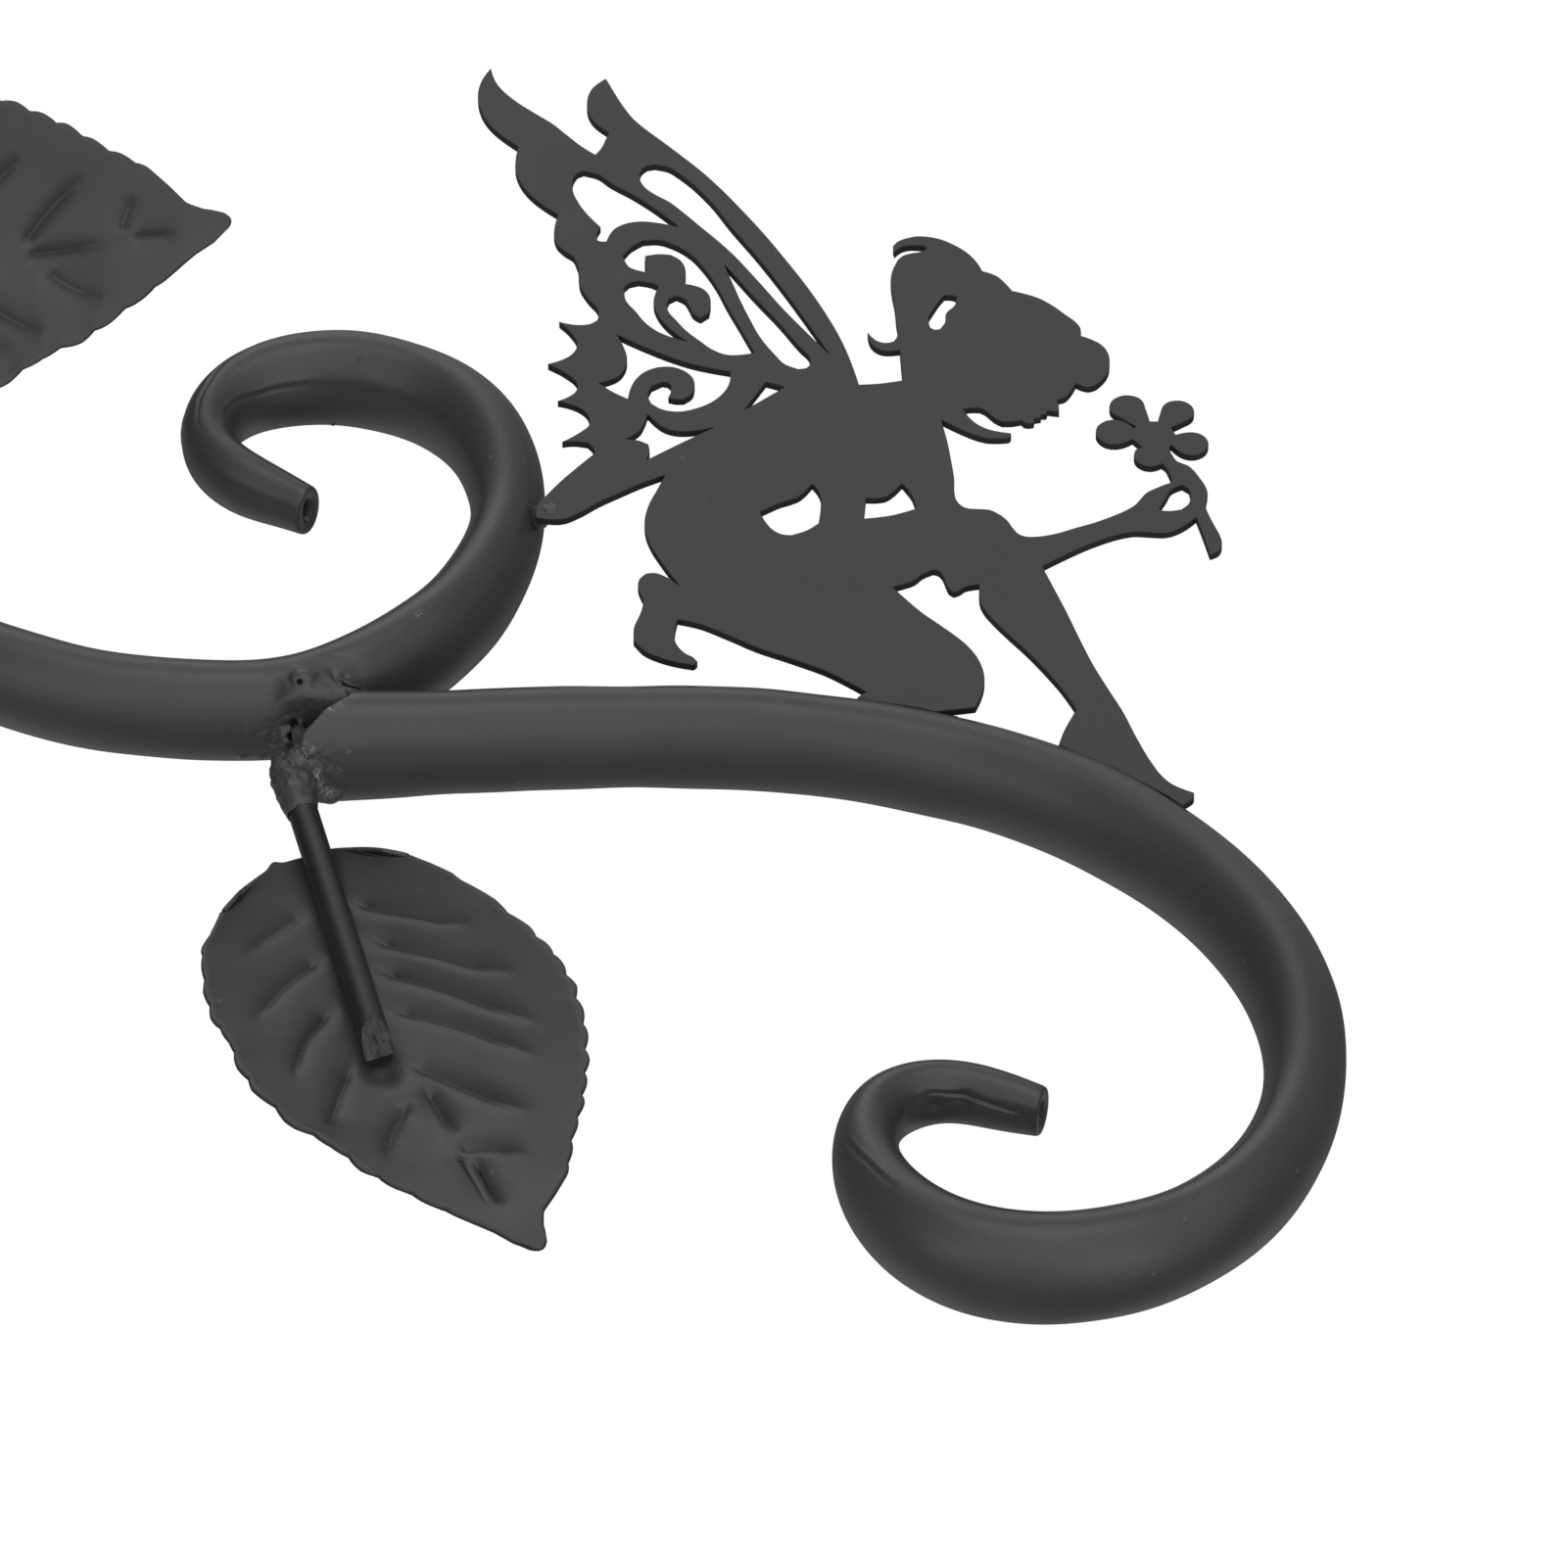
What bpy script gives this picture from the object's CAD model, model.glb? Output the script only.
"""Garden plant hanger bracket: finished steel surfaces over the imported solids.

The bracket hangs on a wall in the plane X = 0. The arm reaches out along +X, +Z is up and the
show side of the cut plate faces -Y. Sizes below are in millimetres, and meshes are in metres.
"""

import logging
import math
from dataclasses import dataclass
from enum import Enum

import bmesh
import bpy
import numpy as np
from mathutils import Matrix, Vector
from mathutils.geometry import tessellate_polygon

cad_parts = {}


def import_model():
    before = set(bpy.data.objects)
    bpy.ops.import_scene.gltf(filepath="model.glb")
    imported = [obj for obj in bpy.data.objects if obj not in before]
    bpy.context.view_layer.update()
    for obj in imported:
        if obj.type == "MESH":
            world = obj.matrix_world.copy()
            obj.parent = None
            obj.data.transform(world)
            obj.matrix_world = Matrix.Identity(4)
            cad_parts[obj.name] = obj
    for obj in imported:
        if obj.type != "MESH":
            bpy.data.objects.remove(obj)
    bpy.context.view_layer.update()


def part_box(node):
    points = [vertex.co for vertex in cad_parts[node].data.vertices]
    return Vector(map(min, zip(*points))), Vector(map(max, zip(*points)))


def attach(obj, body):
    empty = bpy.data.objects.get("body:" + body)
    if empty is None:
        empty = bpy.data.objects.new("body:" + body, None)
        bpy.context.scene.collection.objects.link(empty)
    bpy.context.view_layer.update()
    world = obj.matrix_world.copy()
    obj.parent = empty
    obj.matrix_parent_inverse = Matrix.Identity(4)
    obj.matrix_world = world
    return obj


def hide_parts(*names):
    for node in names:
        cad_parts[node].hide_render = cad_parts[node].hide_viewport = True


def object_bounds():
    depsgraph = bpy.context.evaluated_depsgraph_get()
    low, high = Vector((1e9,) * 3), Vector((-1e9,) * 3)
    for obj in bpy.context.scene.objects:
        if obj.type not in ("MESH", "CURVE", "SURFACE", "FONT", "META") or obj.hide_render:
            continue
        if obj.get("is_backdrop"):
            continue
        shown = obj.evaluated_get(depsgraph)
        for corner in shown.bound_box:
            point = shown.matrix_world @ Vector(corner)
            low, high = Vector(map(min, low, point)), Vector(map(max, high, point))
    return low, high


LOG = logging.getLogger("plant_hanger")
MM = 0.001
MERGE_DISTANCE = 0.0000005

# Middle lines of the tubes: X, Z and the share of the tube's full section at each place.
ARM_LINE = (
    (4.0, -1.2, 1.0), (22.0, -1.2, 1.0), (38.0, -4.0, 1.0), (54.0, -12.0, 1.0), (71.0, -24.5, 1.0),
    (87.3, -34.0, 1.0), (102.0, -39.6, 1.0), (121.0, -42.3, 0.98), (138.0, -40.4, 1.02),
    (150.5, -32.4, 1.04), (159.7, -22.4, 1.01), (165.9, -10.1, 0.97), (168.9, 3.3, 0.93),
    (167.8, 15.8, 1.0), (163.3, 27.1, 1.01), (155.4, 35.2, 0.98), (145.5, 39.7, 0.97),
    (135.1, 40.6, 0.94), (125.6, 37.5, 0.86), (119.6, 30.5, 0.77), (119.2, 21.0, 0.70),
    (124.2, 14.3, 0.67), (130.4, 10.2, 0.58), (135.8, 6.7, 0.50),
)
HOOK_LINE = (
    (136.6, -51.5, 1.07), (150.0, -50.7, 1.04), (170.0, -49.5, 1.01), (190.0, -48.8, 1.0),
    (208.0, -49.2, 1.0), (226.0, -51.9, 1.0), (247.7, -58.4, 1.02), (265.9, -68.4, 1.05),
    (280.4, -81.8, 1.06), (290.9, -97.4, 1.06), (296.4, -115.0, 1.04), (296.2, -133.0, 0.96),
    (290.3, -149.6, 0.97), (279.8, -161.4, 1.0), (266.8, -168.0, 1.05), (253.4, -169.5, 1.07),
    (240.2, -165.6, 1.04), (231.1, -156.2, 0.94), (227.8, -144.4, 0.80), (230.9, -134.8, 0.69),
    (240.0, -130.8, 0.62), (248.6, -132.8, 0.57), (255.6, -135.4, 0.48),
)


class PlateSide(Enum):
    """Which way the thickness of a cut plate runs."""

    ALONG_Y = 1
    ALONG_X = 0


class CoatTone(Enum):
    """Base grey of the powder coat on each kind of piece, linear."""

    TUBE = 0.049
    PLATE = 0.036
    LEAF = 0.045
    ROD = 0.018
    WELD = 0.050
    CUT_EDGE = 0.012


def ripple(points: np.ndarray, wavelength: float, seed: int, waves: int = 24) -> np.ndarray:
    """Smooth random height over space.

    Formula: the sum of sines of (direction . point * 2 pi / wavelength + phase), over random
    directions, with wavelengths spread from one half to twice the given one, scaled to about 1.

    Args:
        points: places in millimetres, one row each.
        wavelength: middle wavelength in millimetres.
        seed: seed of the fixed random directions.
        waves: how many sines are added.

    Returns:
        One height for each point.
    """
    rng = np.random.default_rng(seed)
    directions = rng.normal(size=(waves, 3))
    directions /= np.linalg.norm(directions, axis=1, keepdims=True)
    scale = 2 * math.pi / (wavelength * 2.0 ** rng.uniform(-1, 1, waves))
    phases = rng.uniform(0, 2 * math.pi, waves)
    return np.sin(points @ (directions * scale[:, None]).T + phases).sum(1) / math.sqrt(waves / 2)


def grid_quads(rows: int, columns: int, closed: bool) -> np.ndarray:
    """Quads of a grid of points laid out row by row.

    Args:
        rows: number of rows.
        columns: number of columns.
        closed: whether the last column joins the first.

    Returns:
        Four point numbers for each quad.
    """
    r = np.arange(rows - 1)[:, None]
    c = np.arange(columns if closed else columns - 1)[None, :]
    right = (c + 1) % columns
    this, following = r * columns, (r + 1) * columns
    corners = (this + c, this + right, following + right, following + c)
    return np.stack(np.broadcast_arrays(*corners), axis=-1).reshape(-1, 4)


def smooth_line(points: np.ndarray, spacing: float) -> tuple[np.ndarray, np.ndarray]:
    """Natural cubic spline through points, by arc length.

    Formula: on each span the curve is the cubic whose second derivatives at the ends solve the
    natural spline's linear system over the chord lengths.

    Args:
        points: one row a point, any number of columns. The first two are the place.
        spacing: distance between samples in millimetres.

    Returns:
        The sampled rows, and the arc length of each.
    """
    chord = np.hypot(*np.diff(points[:, :2], axis=0).T)
    knots = np.concatenate(([0.0], np.cumsum(chord)))
    count = len(points)
    system = np.eye(count)
    inner = np.arange(1, count - 1)
    system[inner, inner - 1] = chord[:-1]
    system[inner, inner] = 2 * (chord[:-1] + chord[1:])
    system[inner, inner + 1] = chord[1:]
    slopes = np.diff(points, axis=0) / chord[:, None]
    load = np.zeros_like(points)
    load[1:-1] = 6 * (slopes[1:] - slopes[:-1])
    bend = np.linalg.solve(system, load)
    where = np.linspace(0, knots[-1], int(knots[-1] / spacing) + 1)
    span = np.clip(np.searchsorted(knots, where, side="right") - 1, 0, count - 2)
    width = chord[span][:, None]
    left = (knots[span + 1] - where)[:, None]
    right = (where - knots[span])[:, None]
    line = (bend[span] * left ** 3 + bend[span + 1] * right ** 3) / (6 * width)
    line += (points[span] / width - bend[span] * width / 6) * left
    line += (points[span + 1] / width - bend[span + 1] * width / 6) * right
    step = np.hypot(*np.diff(line[:, :2], axis=0).T)
    return line, np.concatenate(([0.0], np.cumsum(step)))


def soft_min(first: np.ndarray, second: np.ndarray, blend: float) -> np.ndarray:
    """Lower of two distance fields, rounded where they meet.

    Formula: min(a, b) - blend * h^2 / 4, where h = max(blend - |a - b|, 0) / blend.

    Args:
        first: one field.
        second: the other field.
        blend: how far from the meeting line the rounding reaches, in millimetres.

    Returns:
        The joined field.
    """
    near = np.maximum(blend - np.abs(first - second), 0.0) / blend
    return np.minimum(first, second) - blend * near ** 2 / 4


def field_skin(field: np.ndarray, low: np.ndarray, step: float) -> tuple[np.ndarray, np.ndarray]:
    """Surface where a distance field crosses zero.

    Formula: each cell that the surface crosses gets one point, the mean of the places where its
    edges cross zero. Each grid edge that crosses zero gets the quad of its four cells.

    Args:
        field: distances on a regular grid, above zero all along its border.
        low: place of the grid's first corner in millimetres.
        step: grid spacing in millimetres.

    Returns:
        The points and the quads.
    """
    cells = np.array(field.shape) - 1
    total = np.zeros((*cells, 3))
    count = np.zeros(tuple(cells))
    crossings = []
    for axis in range(3):
        aside, beyond = (axis + 1) % 3, (axis + 2) % 3
        start = np.take(field, np.arange(cells[axis]), axis)
        end = np.take(field, np.arange(1, cells[axis] + 1), axis)
        crossed = (start < 0) != (end < 0)
        share = np.where(crossed, start / np.where(crossed, start - end, 1.0), 0.0)
        for i in (0, 1):
            for j in (0, 1):
                cut = [slice(None)] * 3
                cut[aside] = slice(i, i + cells[aside])
                cut[beyond] = slice(j, j + cells[beyond])
                hit = crossed[tuple(cut)]
                total[..., axis] += share[tuple(cut)] * hit
                total[..., aside] += i * hit
                total[..., beyond] += j * hit
                count += hit
        crossings.append(crossed)
    used = count > 0
    number = np.cumsum(used.ravel()).reshape(used.shape) - 1
    points = low + step * (np.argwhere(used) + total[used] / count[used][:, None])
    quads = []
    for axis, crossed in enumerate(crossings):
        aside, beyond = (axis + 1) % 3, (axis + 2) % 3
        at = np.argwhere(crossed)
        ring = []
        for i, j in ((-1, -1), (0, -1), (0, 0), (-1, 0)):
            near = at.copy()
            near[:, aside] += i
            near[:, beyond] += j
            ring.append(number[tuple(near.T)])
        quads.append(np.stack(ring, axis=1))
    return points, np.vstack(quads)


def build_mesh(name: str, points: np.ndarray, faces: list[np.ndarray]) -> bpy.types.Mesh:
    """Put points and faces in a mesh, merge what coincides and point the faces outwards.

    Args:
        name: name of the mesh.
        points: places in millimetres.
        faces: face arrays, three or four point numbers a row.

    Returns:
        The closed mesh in metres.
    """
    mesh = bpy.data.meshes.new(name)
    rows = [row for block in faces for row in block.tolist()]
    mesh.from_pydata((points * MM).tolist(), [], rows)
    shape = bmesh.new()
    shape.from_mesh(mesh)
    bmesh.ops.remove_doubles(shape, verts=shape.verts, dist=MERGE_DISTANCE)
    bmesh.ops.dissolve_degenerate(shape, edges=shape.edges, dist=MERGE_DISTANCE)
    bmesh.ops.recalc_face_normals(shape, faces=shape.faces)
    shape.to_mesh(mesh)
    shape.free()
    mesh.shade_smooth()
    return mesh


def mesh_points(mesh: bpy.types.Mesh) -> np.ndarray:
    """The mesh's points in millimetres, one row each."""
    flat = np.empty(len(mesh.vertices) * 3)
    mesh.vertices.foreach_get("co", flat)
    return flat.reshape(-1, 3) / MM


def mesh_normals(mesh: bpy.types.Mesh) -> np.ndarray:
    """The mesh's point normals, one row each."""
    flat = np.empty(len(mesh.vertices) * 3)
    mesh.vertices.foreach_get("normal", flat)
    return flat.reshape(-1, 3)


def paint(mesh: bpy.types.Mesh, name: str, values: np.ndarray) -> None:
    """Store one number a point as a named attribute for the materials.

    Args:
        mesh: the finished mesh.
        name: the attribute's name.
        values: one number for each point.
    """
    layer = mesh.attributes.new(name, "FLOAT", "POINT")
    layer.data.foreach_set("value", values.astype(np.float32))


def paint_wear(mesh: bpy.types.Mesh, spots: tuple) -> None:
    """Paint where the coat is worn through.

    Formula: amount * exp(-(distance / radius)^2), the strongest spot at each point.

    Args:
        mesh: the finished mesh.
        spots: X, Y, Z and radius in millimetres, and the amount, of each spot.
    """
    placed = mesh_points(mesh)
    worn = np.zeros(len(placed))
    for x, y, z, radius, amount in spots:
        away = np.linalg.norm((placed - np.array([x, y, z])) / radius, axis=1)
        worn = np.maximum(worn, amount * np.exp(-away ** 2))
    paint(mesh, "wear", worn)


def show(name: str, mesh: bpy.types.Mesh, slot: str, *nodes: str) -> bpy.types.Object:
    """Make the piece's object, let it ride on the bracket and stand for its CAD nodes.

    Args:
        name: the piece's name.
        mesh: its finished mesh, in place.
        slot: the record's material slot.
        nodes: the CAD nodes it stands for.

    Returns:
        The piece.
    """
    piece = bpy.data.objects.new(name, mesh)
    bpy.context.scene.collection.objects.link(piece)
    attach(piece, "root")
    if nodes:
        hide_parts(*nodes)
    LOG.info("%s: %d faces", name, len(mesh.polygons))
    return piece


@dataclass
class NodeBench:
    """Short ways to add nodes to one node tree, already joined."""

    tree: bpy.types.NodeTree

    def feed(self, socket: bpy.types.NodeSocket, value: object) -> None:
        """Join an input to another node, or set it to a number.

        Args:
            socket: the input.
            value: another node's output or a number. A colour takes the number as its grey.
        """
        if isinstance(value, bpy.types.NodeSocket):
            self.tree.links.new(value, socket)
        elif socket.type == "RGBA":
            socket.default_value = (value, value, value, 1.0)
        else:
            socket.default_value = value

    def noise(
            self, place: bpy.types.NodeSocket, scale: float, detail: float) -> bpy.types.NodeSocket:
        """A noise pattern.

        Args:
            place: where it is read.
            scale: how many waves a metre holds.
            detail: how many finer layers it has.

        Returns:
            Its height.
        """
        node = self.tree.nodes.new("ShaderNodeTexNoise")
        self.feed(node.inputs["Vector"], place)
        self.feed(node.inputs["Scale"], scale)
        self.feed(node.inputs["Detail"], detail)
        return node.outputs["Fac"]

    def remap(self, value: bpy.types.NodeSocket, span: tuple, to: tuple) -> bpy.types.NodeSocket:
        """Map a value's span to another, and keep it inside.

        Args:
            value: the value.
            span: its low and high end.
            to: what they become.

        Returns:
            The mapped value.
        """
        node = self.tree.nodes.new("ShaderNodeMapRange")
        names = ("Value", "From Min", "From Max", "To Min", "To Max")
        for name, number in zip(names, (value, *span, *to)):
            self.feed(node.inputs[name], number)
        return node.outputs["Result"]

    def blend(self, share: bpy.types.NodeSocket, low: object, high: object) -> bpy.types.NodeSocket:
        """Mix two greys or colours.

        Args:
            share: how much of the second there is.
            low: the first grey or colour.
            high: the second grey or colour.

        Returns:
            The mixed colour.
        """
        node = self.tree.nodes.new("ShaderNodeMix")
        node.data_type = "RGBA"
        colours = [socket for socket in node.inputs if socket.type == "RGBA"]
        self.feed(node.inputs[0], share)
        self.feed(colours[0], low)
        self.feed(colours[1], high)
        return next(socket for socket in node.outputs if socket.type == "RGBA")

    def maths(self, operation: str, first: object, second: object) -> bpy.types.NodeSocket:
        """One step of arithmetic.

        Args:
            operation: its name in Blender.
            first: the first value.
            second: the second value.

        Returns:
            The result.
        """
        node = self.tree.nodes.new("ShaderNodeMath")
        node.operation = operation
        self.feed(node.inputs[0], first)
        self.feed(node.inputs[1], second)
        return node.outputs[0]

    def painted(self, name: str) -> bpy.types.NodeSocket:
        """The value painted on the mesh under a name."""
        node = self.tree.nodes.new("ShaderNodeAttribute")
        node.attribute_name = name
        return node.outputs["Fac"]


@dataclass(frozen=True)
class PowderCoat:
    """Baked powder coat: fine orange peel, dust specks, and bright wear where painted."""

    name: str
    tone: CoatTone
    roughness: float
    roughness_swing: float = 0.04
    peel: float = 0.035
    peel_scale: float = 900.0
    peel_height: float = 0.0004
    cloud_scale: float = 45.0
    cloud_tones: tuple = (0.93, 1.07)
    grain_scale: float = 2600.0
    grain_tone: float = 1.25
    dust: float = 0.5
    dust_scale: float = 95.0
    dust_sizes: tuple = (0.05, 0.025)
    dust_tone: float = 3.2
    worn_tone: float = 0.42
    worn_scale: float = 2400.0
    worn_span: tuple = (0.44, 0.54)

    def material(self) -> bpy.types.Material:
        """The coat as a node material, read from Object coordinates.

        Formula: grey = tone * cloud * grain, lighter in round dust specks, then mixed with the
        worn metal's grey where wear is painted and rough, and with the cut edge's grey.

        Returns:
            The material.
        """
        material = bpy.data.materials.new(self.name)
        material.use_nodes = True
        nodes = material.node_tree.nodes
        bench = NodeBench(material.node_tree)
        shader = nodes["Principled BSDF"]
        shader.inputs["Metallic"].default_value = 0.0
        shader.inputs["Specular IOR Level"].default_value = 0.5
        place = nodes.new("ShaderNodeTexCoord").outputs["Object"]
        base, whole = self.tone.value, (0.0, 1.0)

        cloud = bench.remap(bench.noise(place, self.cloud_scale, 3.0), (0.3, 0.7), whole)
        colour = bench.blend(cloud, *(base * tone for tone in self.cloud_tones))
        grain = bench.remap(bench.noise(place, self.grain_scale, 2.0), (0.35, 0.65), whole)
        colour = bench.blend(bench.remap(grain, whole, (0.0, 0.5)), colour, base * self.grain_tone)

        cells = nodes.new("ShaderNodeTexVoronoi")
        bench.feed(cells.inputs["Vector"], place)
        bench.feed(cells.inputs["Scale"], self.dust_scale)
        specks = bench.remap(cells.outputs["Distance"], self.dust_sizes, (0.0, self.dust))
        colour = bench.blend(specks, colour, base * self.dust_tone)

        patches = bench.remap(bench.noise(place, self.worn_scale, 3.0), self.worn_span, whole)
        worn = bench.maths("MULTIPLY", bench.painted("wear"), patches)
        colour = bench.blend(worn, colour, self.worn_tone)
        colour = bench.blend(bench.painted("cut"), colour, CoatTone.CUT_EDGE.value)
        bench.feed(shader.inputs["Base Color"], colour)

        shine = (self.roughness - self.roughness_swing, self.roughness + self.roughness_swing)
        bench.feed(shader.inputs["Roughness"], bench.remap(cloud, whole, shine))
        bump = nodes.new("ShaderNodeBump")
        bench.feed(bump.inputs["Strength"], self.peel)
        bench.feed(bump.inputs["Distance"], self.peel_height)
        bench.feed(bump.inputs["Height"], bench.noise(place, self.peel_scale, 2.0))
        bench.feed(shader.inputs["Normal"], bump.outputs["Normal"])
        return material


TUBE_COAT = PowderCoat("satin black tube", CoatTone.TUBE, 0.30, peel=0.09)
PLATE_COAT = PowderCoat("fine black plate", CoatTone.PLATE, 0.50)
EDGE_COAT = PowderCoat("cut edge", CoatTone.CUT_EDGE, 0.7, dust=0.0)
LEAF_COAT = PowderCoat("satin black leaf", CoatTone.LEAF, 0.40, peel=0.06)
ROD_COAT = PowderCoat("black rod", CoatTone.ROD, 0.34)
WELD_COAT = PowderCoat("coated weld", CoatTone.WELD, 0.34, peel=0.12)


@dataclass(frozen=True)
class Pit:
    """A small round hollow, or with a negative depth a small bump, on the show side."""

    x: float
    z: float
    radius: float
    depth: float
    y: float = -9.0


@dataclass(frozen=True)
class Crease:
    """A line pressed along a tube, or with a negative depth a ridge.

    The path is pairs of arc length and angle round the section in degrees.
    """

    path: tuple
    width: float
    depth: float


@dataclass
class SteelTube:
    """Oval steel tube rolled into a scroll, thinner towards its end, closed by a squashed mouth.

    The start cut holds pairs of turn in degrees and how far the skin is pushed along the tube.
    Each worn spot is X, Y, Z, radius and amount.
    """

    name: str
    node: str
    line: tuple
    half_height: float = 6.6
    half_depth: float = 9.6
    spacing: float = 0.7
    sides: int = 120
    cap_slides: tuple = (0.0, 0.0, 0.12)
    cap_shares: tuple = (0.001, 0.6, 0.95)
    start_cut: tuple = ()
    start_rings: float = 20.0
    edge_round: float = 0.5
    rim_angles: tuple = (20.0, 40.0, 60.0, 80.0, 90.0)
    mouth_slides: tuple = (0.0, -0.15, -0.5, -1.6, -5.0, -5.0)
    mouth_heights: tuple = (0.72, 0.5, 0.30, 0.27, 0.24, 0.001)
    mouth_depths: tuple = (0.8, 0.62, 0.5, 0.45, 0.336, 0.001)
    waviness: float = 0.05
    wave_length: float = 22.0
    creases: tuple = ()
    pits: tuple = ()
    wear: tuple = ()

    def centres(self) -> tuple[np.ndarray, np.ndarray, np.ndarray, np.ndarray]:
        """The tube's middle line.

        Returns:
            Its places, its shares of the full section, its arc lengths and its headings.
        """
        line, arc = smooth_line(np.array(self.line), self.spacing)
        tangent = np.gradient(line[:, :2], arc, axis=0)
        tangent /= np.linalg.norm(tangent, axis=1, keepdims=True)
        return line[:, :2], line[:, 2], arc, tangent

    def rings(self) -> tuple[np.ndarray, np.ndarray, np.ndarray, np.ndarray]:
        """Every ring of the skin, from the closed start to the bottom of the mouth.

        Formula: a few small rings close the start. At the end the rings go round the rim, at
        radius * (1 - cos) inwards and radius * (1 - sin) short of the end, then across the end
        face and down into the mouth.

        Returns:
            The rings' middles and headings, and their shares of the full height and depth.
        """
        centre, share, arc, tangent = self.centres()
        kept = np.flatnonzero(arc <= arc[-1] - self.edge_round)
        angles = np.radians(self.rim_angles)
        short = self.edge_round * (np.sin(angles) - 1)
        inset = self.edge_round * (1 - np.cos(angles)) / share[-1]
        plain = np.ones(len(kept))
        slide = np.concatenate([self.cap_slides, plain * 0.0, short, self.mouth_slides])
        high = np.concatenate([
            self.cap_shares, plain, 1 - inset / self.half_height, self.mouth_heights])
        deep = np.concatenate([
            self.cap_shares, plain, 1 - inset / self.half_depth, self.mouth_depths])
        order = np.concatenate([
            np.zeros(len(self.cap_shares), int), kept,
            np.full(len(angles) + len(self.mouth_slides), len(arc) - 1)])
        middle = centre[order] + slide[:, None] * tangent[order]
        return middle, tangent[order], share[order] * high, share[order] * deep

    def surface(self) -> tuple[np.ndarray, np.ndarray]:
        """The whole skin as a grid.

        Formula: point = middle + height * cos(turn) * normal + depth * sin(turn) * Y. Near the
        start each point is also pushed along the tube, by what the start cut gives at its turn.

        Returns:
            Points and outward directions, ring by ring.
        """
        middle, tangent, high, deep = self.rings()
        turn = np.linspace(0, 2 * math.pi, self.sides, endpoint=False)
        normal = np.stack([-tangent[:, 1], tangent[:, 0]], axis=1)
        up = (high * self.half_height)[:, None] * np.cos(turn)
        side = (deep * self.half_depth)[:, None] * np.sin(turn)
        points = np.stack([
            middle[:, 0, None] + up * normal[:, 0, None],
            side,
            middle[:, 1, None] + up * normal[:, 1, None]], axis=-1)
        if self.start_cut:
            ring = np.arange(len(middle)) - len(self.cap_shares)
            reach = np.clip(1 - ring / self.start_rings, 0, 1)[:, None]
            around, pushes = np.array(self.start_cut).T
            push = reach * np.interp(np.degrees(turn), around, pushes, period=360.0)
            points[..., 0] += push * tangent[:, 0, None]
            points[..., 2] += push * tangent[:, 1, None]
        out_up = np.cos(turn) / self.half_height
        out_side = np.sin(turn) / self.half_depth
        length = np.hypot(out_up, out_side)
        outward = np.stack([
            (out_up / length) * normal[:, 0, None],
            np.broadcast_to(out_side / length, up.shape),
            (out_up / length) * normal[:, 1, None]], axis=-1)
        return points, outward

    def distance(self, x: np.ndarray, y: np.ndarray, z: np.ndarray) -> np.ndarray:
        """Rough distance from the tube's skin on a grid, below zero inside.

        Formula: with a and b the half height and half depth there, k = |(up / a, y / b)| and
        g = |(up / a^2, y / b^2)|, the distance is k * (k - 1) / g. Ahead of the start cut it is
        the way back to the cut.

        Args:
            x: the grid's places along X.
            y: the grid's places along Y.
            z: the grid's places along Z.

        Returns:
            The distances, by X, Y and Z.
        """
        centre, share, arc, tangent = self.centres()
        flat = np.stack(np.meshgrid(x, z, indexing="ij"), axis=-1)
        middle = np.array([x.mean(), z.mean()])
        near = np.abs(centre - middle).max(1) < max(np.ptp(x), np.ptp(z))
        nearest = ((flat[..., None, :] - centre[near]) ** 2).sum(-1).argmin(-1)
        gap = flat - centre[near][nearest]
        way = tangent[near][nearest]
        up = (gap[..., 1] * way[..., 0] - gap[..., 0] * way[..., 1])[:, None, :]
        along = (arc[near][nearest] + (gap * way).sum(-1))[:, None, :]
        high = (self.half_height * share[near][nearest])[:, None, :]
        deep = (self.half_depth * share[near][nearest])[:, None, :]
        side = y[None, :, None]
        ratio = np.hypot(up / high, side / deep)
        slope = np.maximum(np.hypot(up / high ** 2, side / deep ** 2), 1e-6)
        field = ratio * (ratio - 1) / slope
        if self.start_cut:
            around, pushes = np.array(self.start_cut).T
            turn = np.degrees(np.arctan2(side / deep, up / high))
            field = np.maximum(field, np.interp(turn, around, pushes, period=360.0) - along)
        return field

    def relief(self, points: np.ndarray) -> np.ndarray:
        """Height of creases, pits and rolling waviness over the skin.

        Formula: minus depth * exp(-(distance / width)^2) summed over creases and pits, plus a
        long faint ripple.

        Args:
            points: grid of points.

        Returns:
            One height for each grid point.
        """
        height = self.waviness * ripple(points.reshape(-1, 3), self.wave_length, 3)
        height = height.reshape(points.shape[:2])
        arc = np.concatenate([[0.0], np.cumsum(np.linalg.norm(
            np.diff(points[:, self.sides // 4], axis=0), axis=1))])
        turn = np.linspace(0, 360, self.sides, endpoint=False)
        middle = (self.half_height + self.half_depth) / 2
        for crease in self.creases:
            places, turns = np.array(crease.path).T
            along = np.clip((arc - places[0]) / (places[-1] - places[0]), 0, 1)
            heading = np.interp(arc, places, turns)
            apart = (turn[None] - heading[:, None] + 180) % 360 - 180
            distance = np.radians(apart) * middle
            fade = np.sin(math.pi * along) ** 0.6
            height -= crease.depth * fade[:, None] * np.exp(-(distance / crease.width) ** 2)
        for pit in self.pits:
            away = np.linalg.norm(points - np.array([pit.x, pit.y, pit.z]), axis=-1)
            height -= pit.depth * np.exp(-(away / pit.radius) ** 2)
        return height

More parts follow.
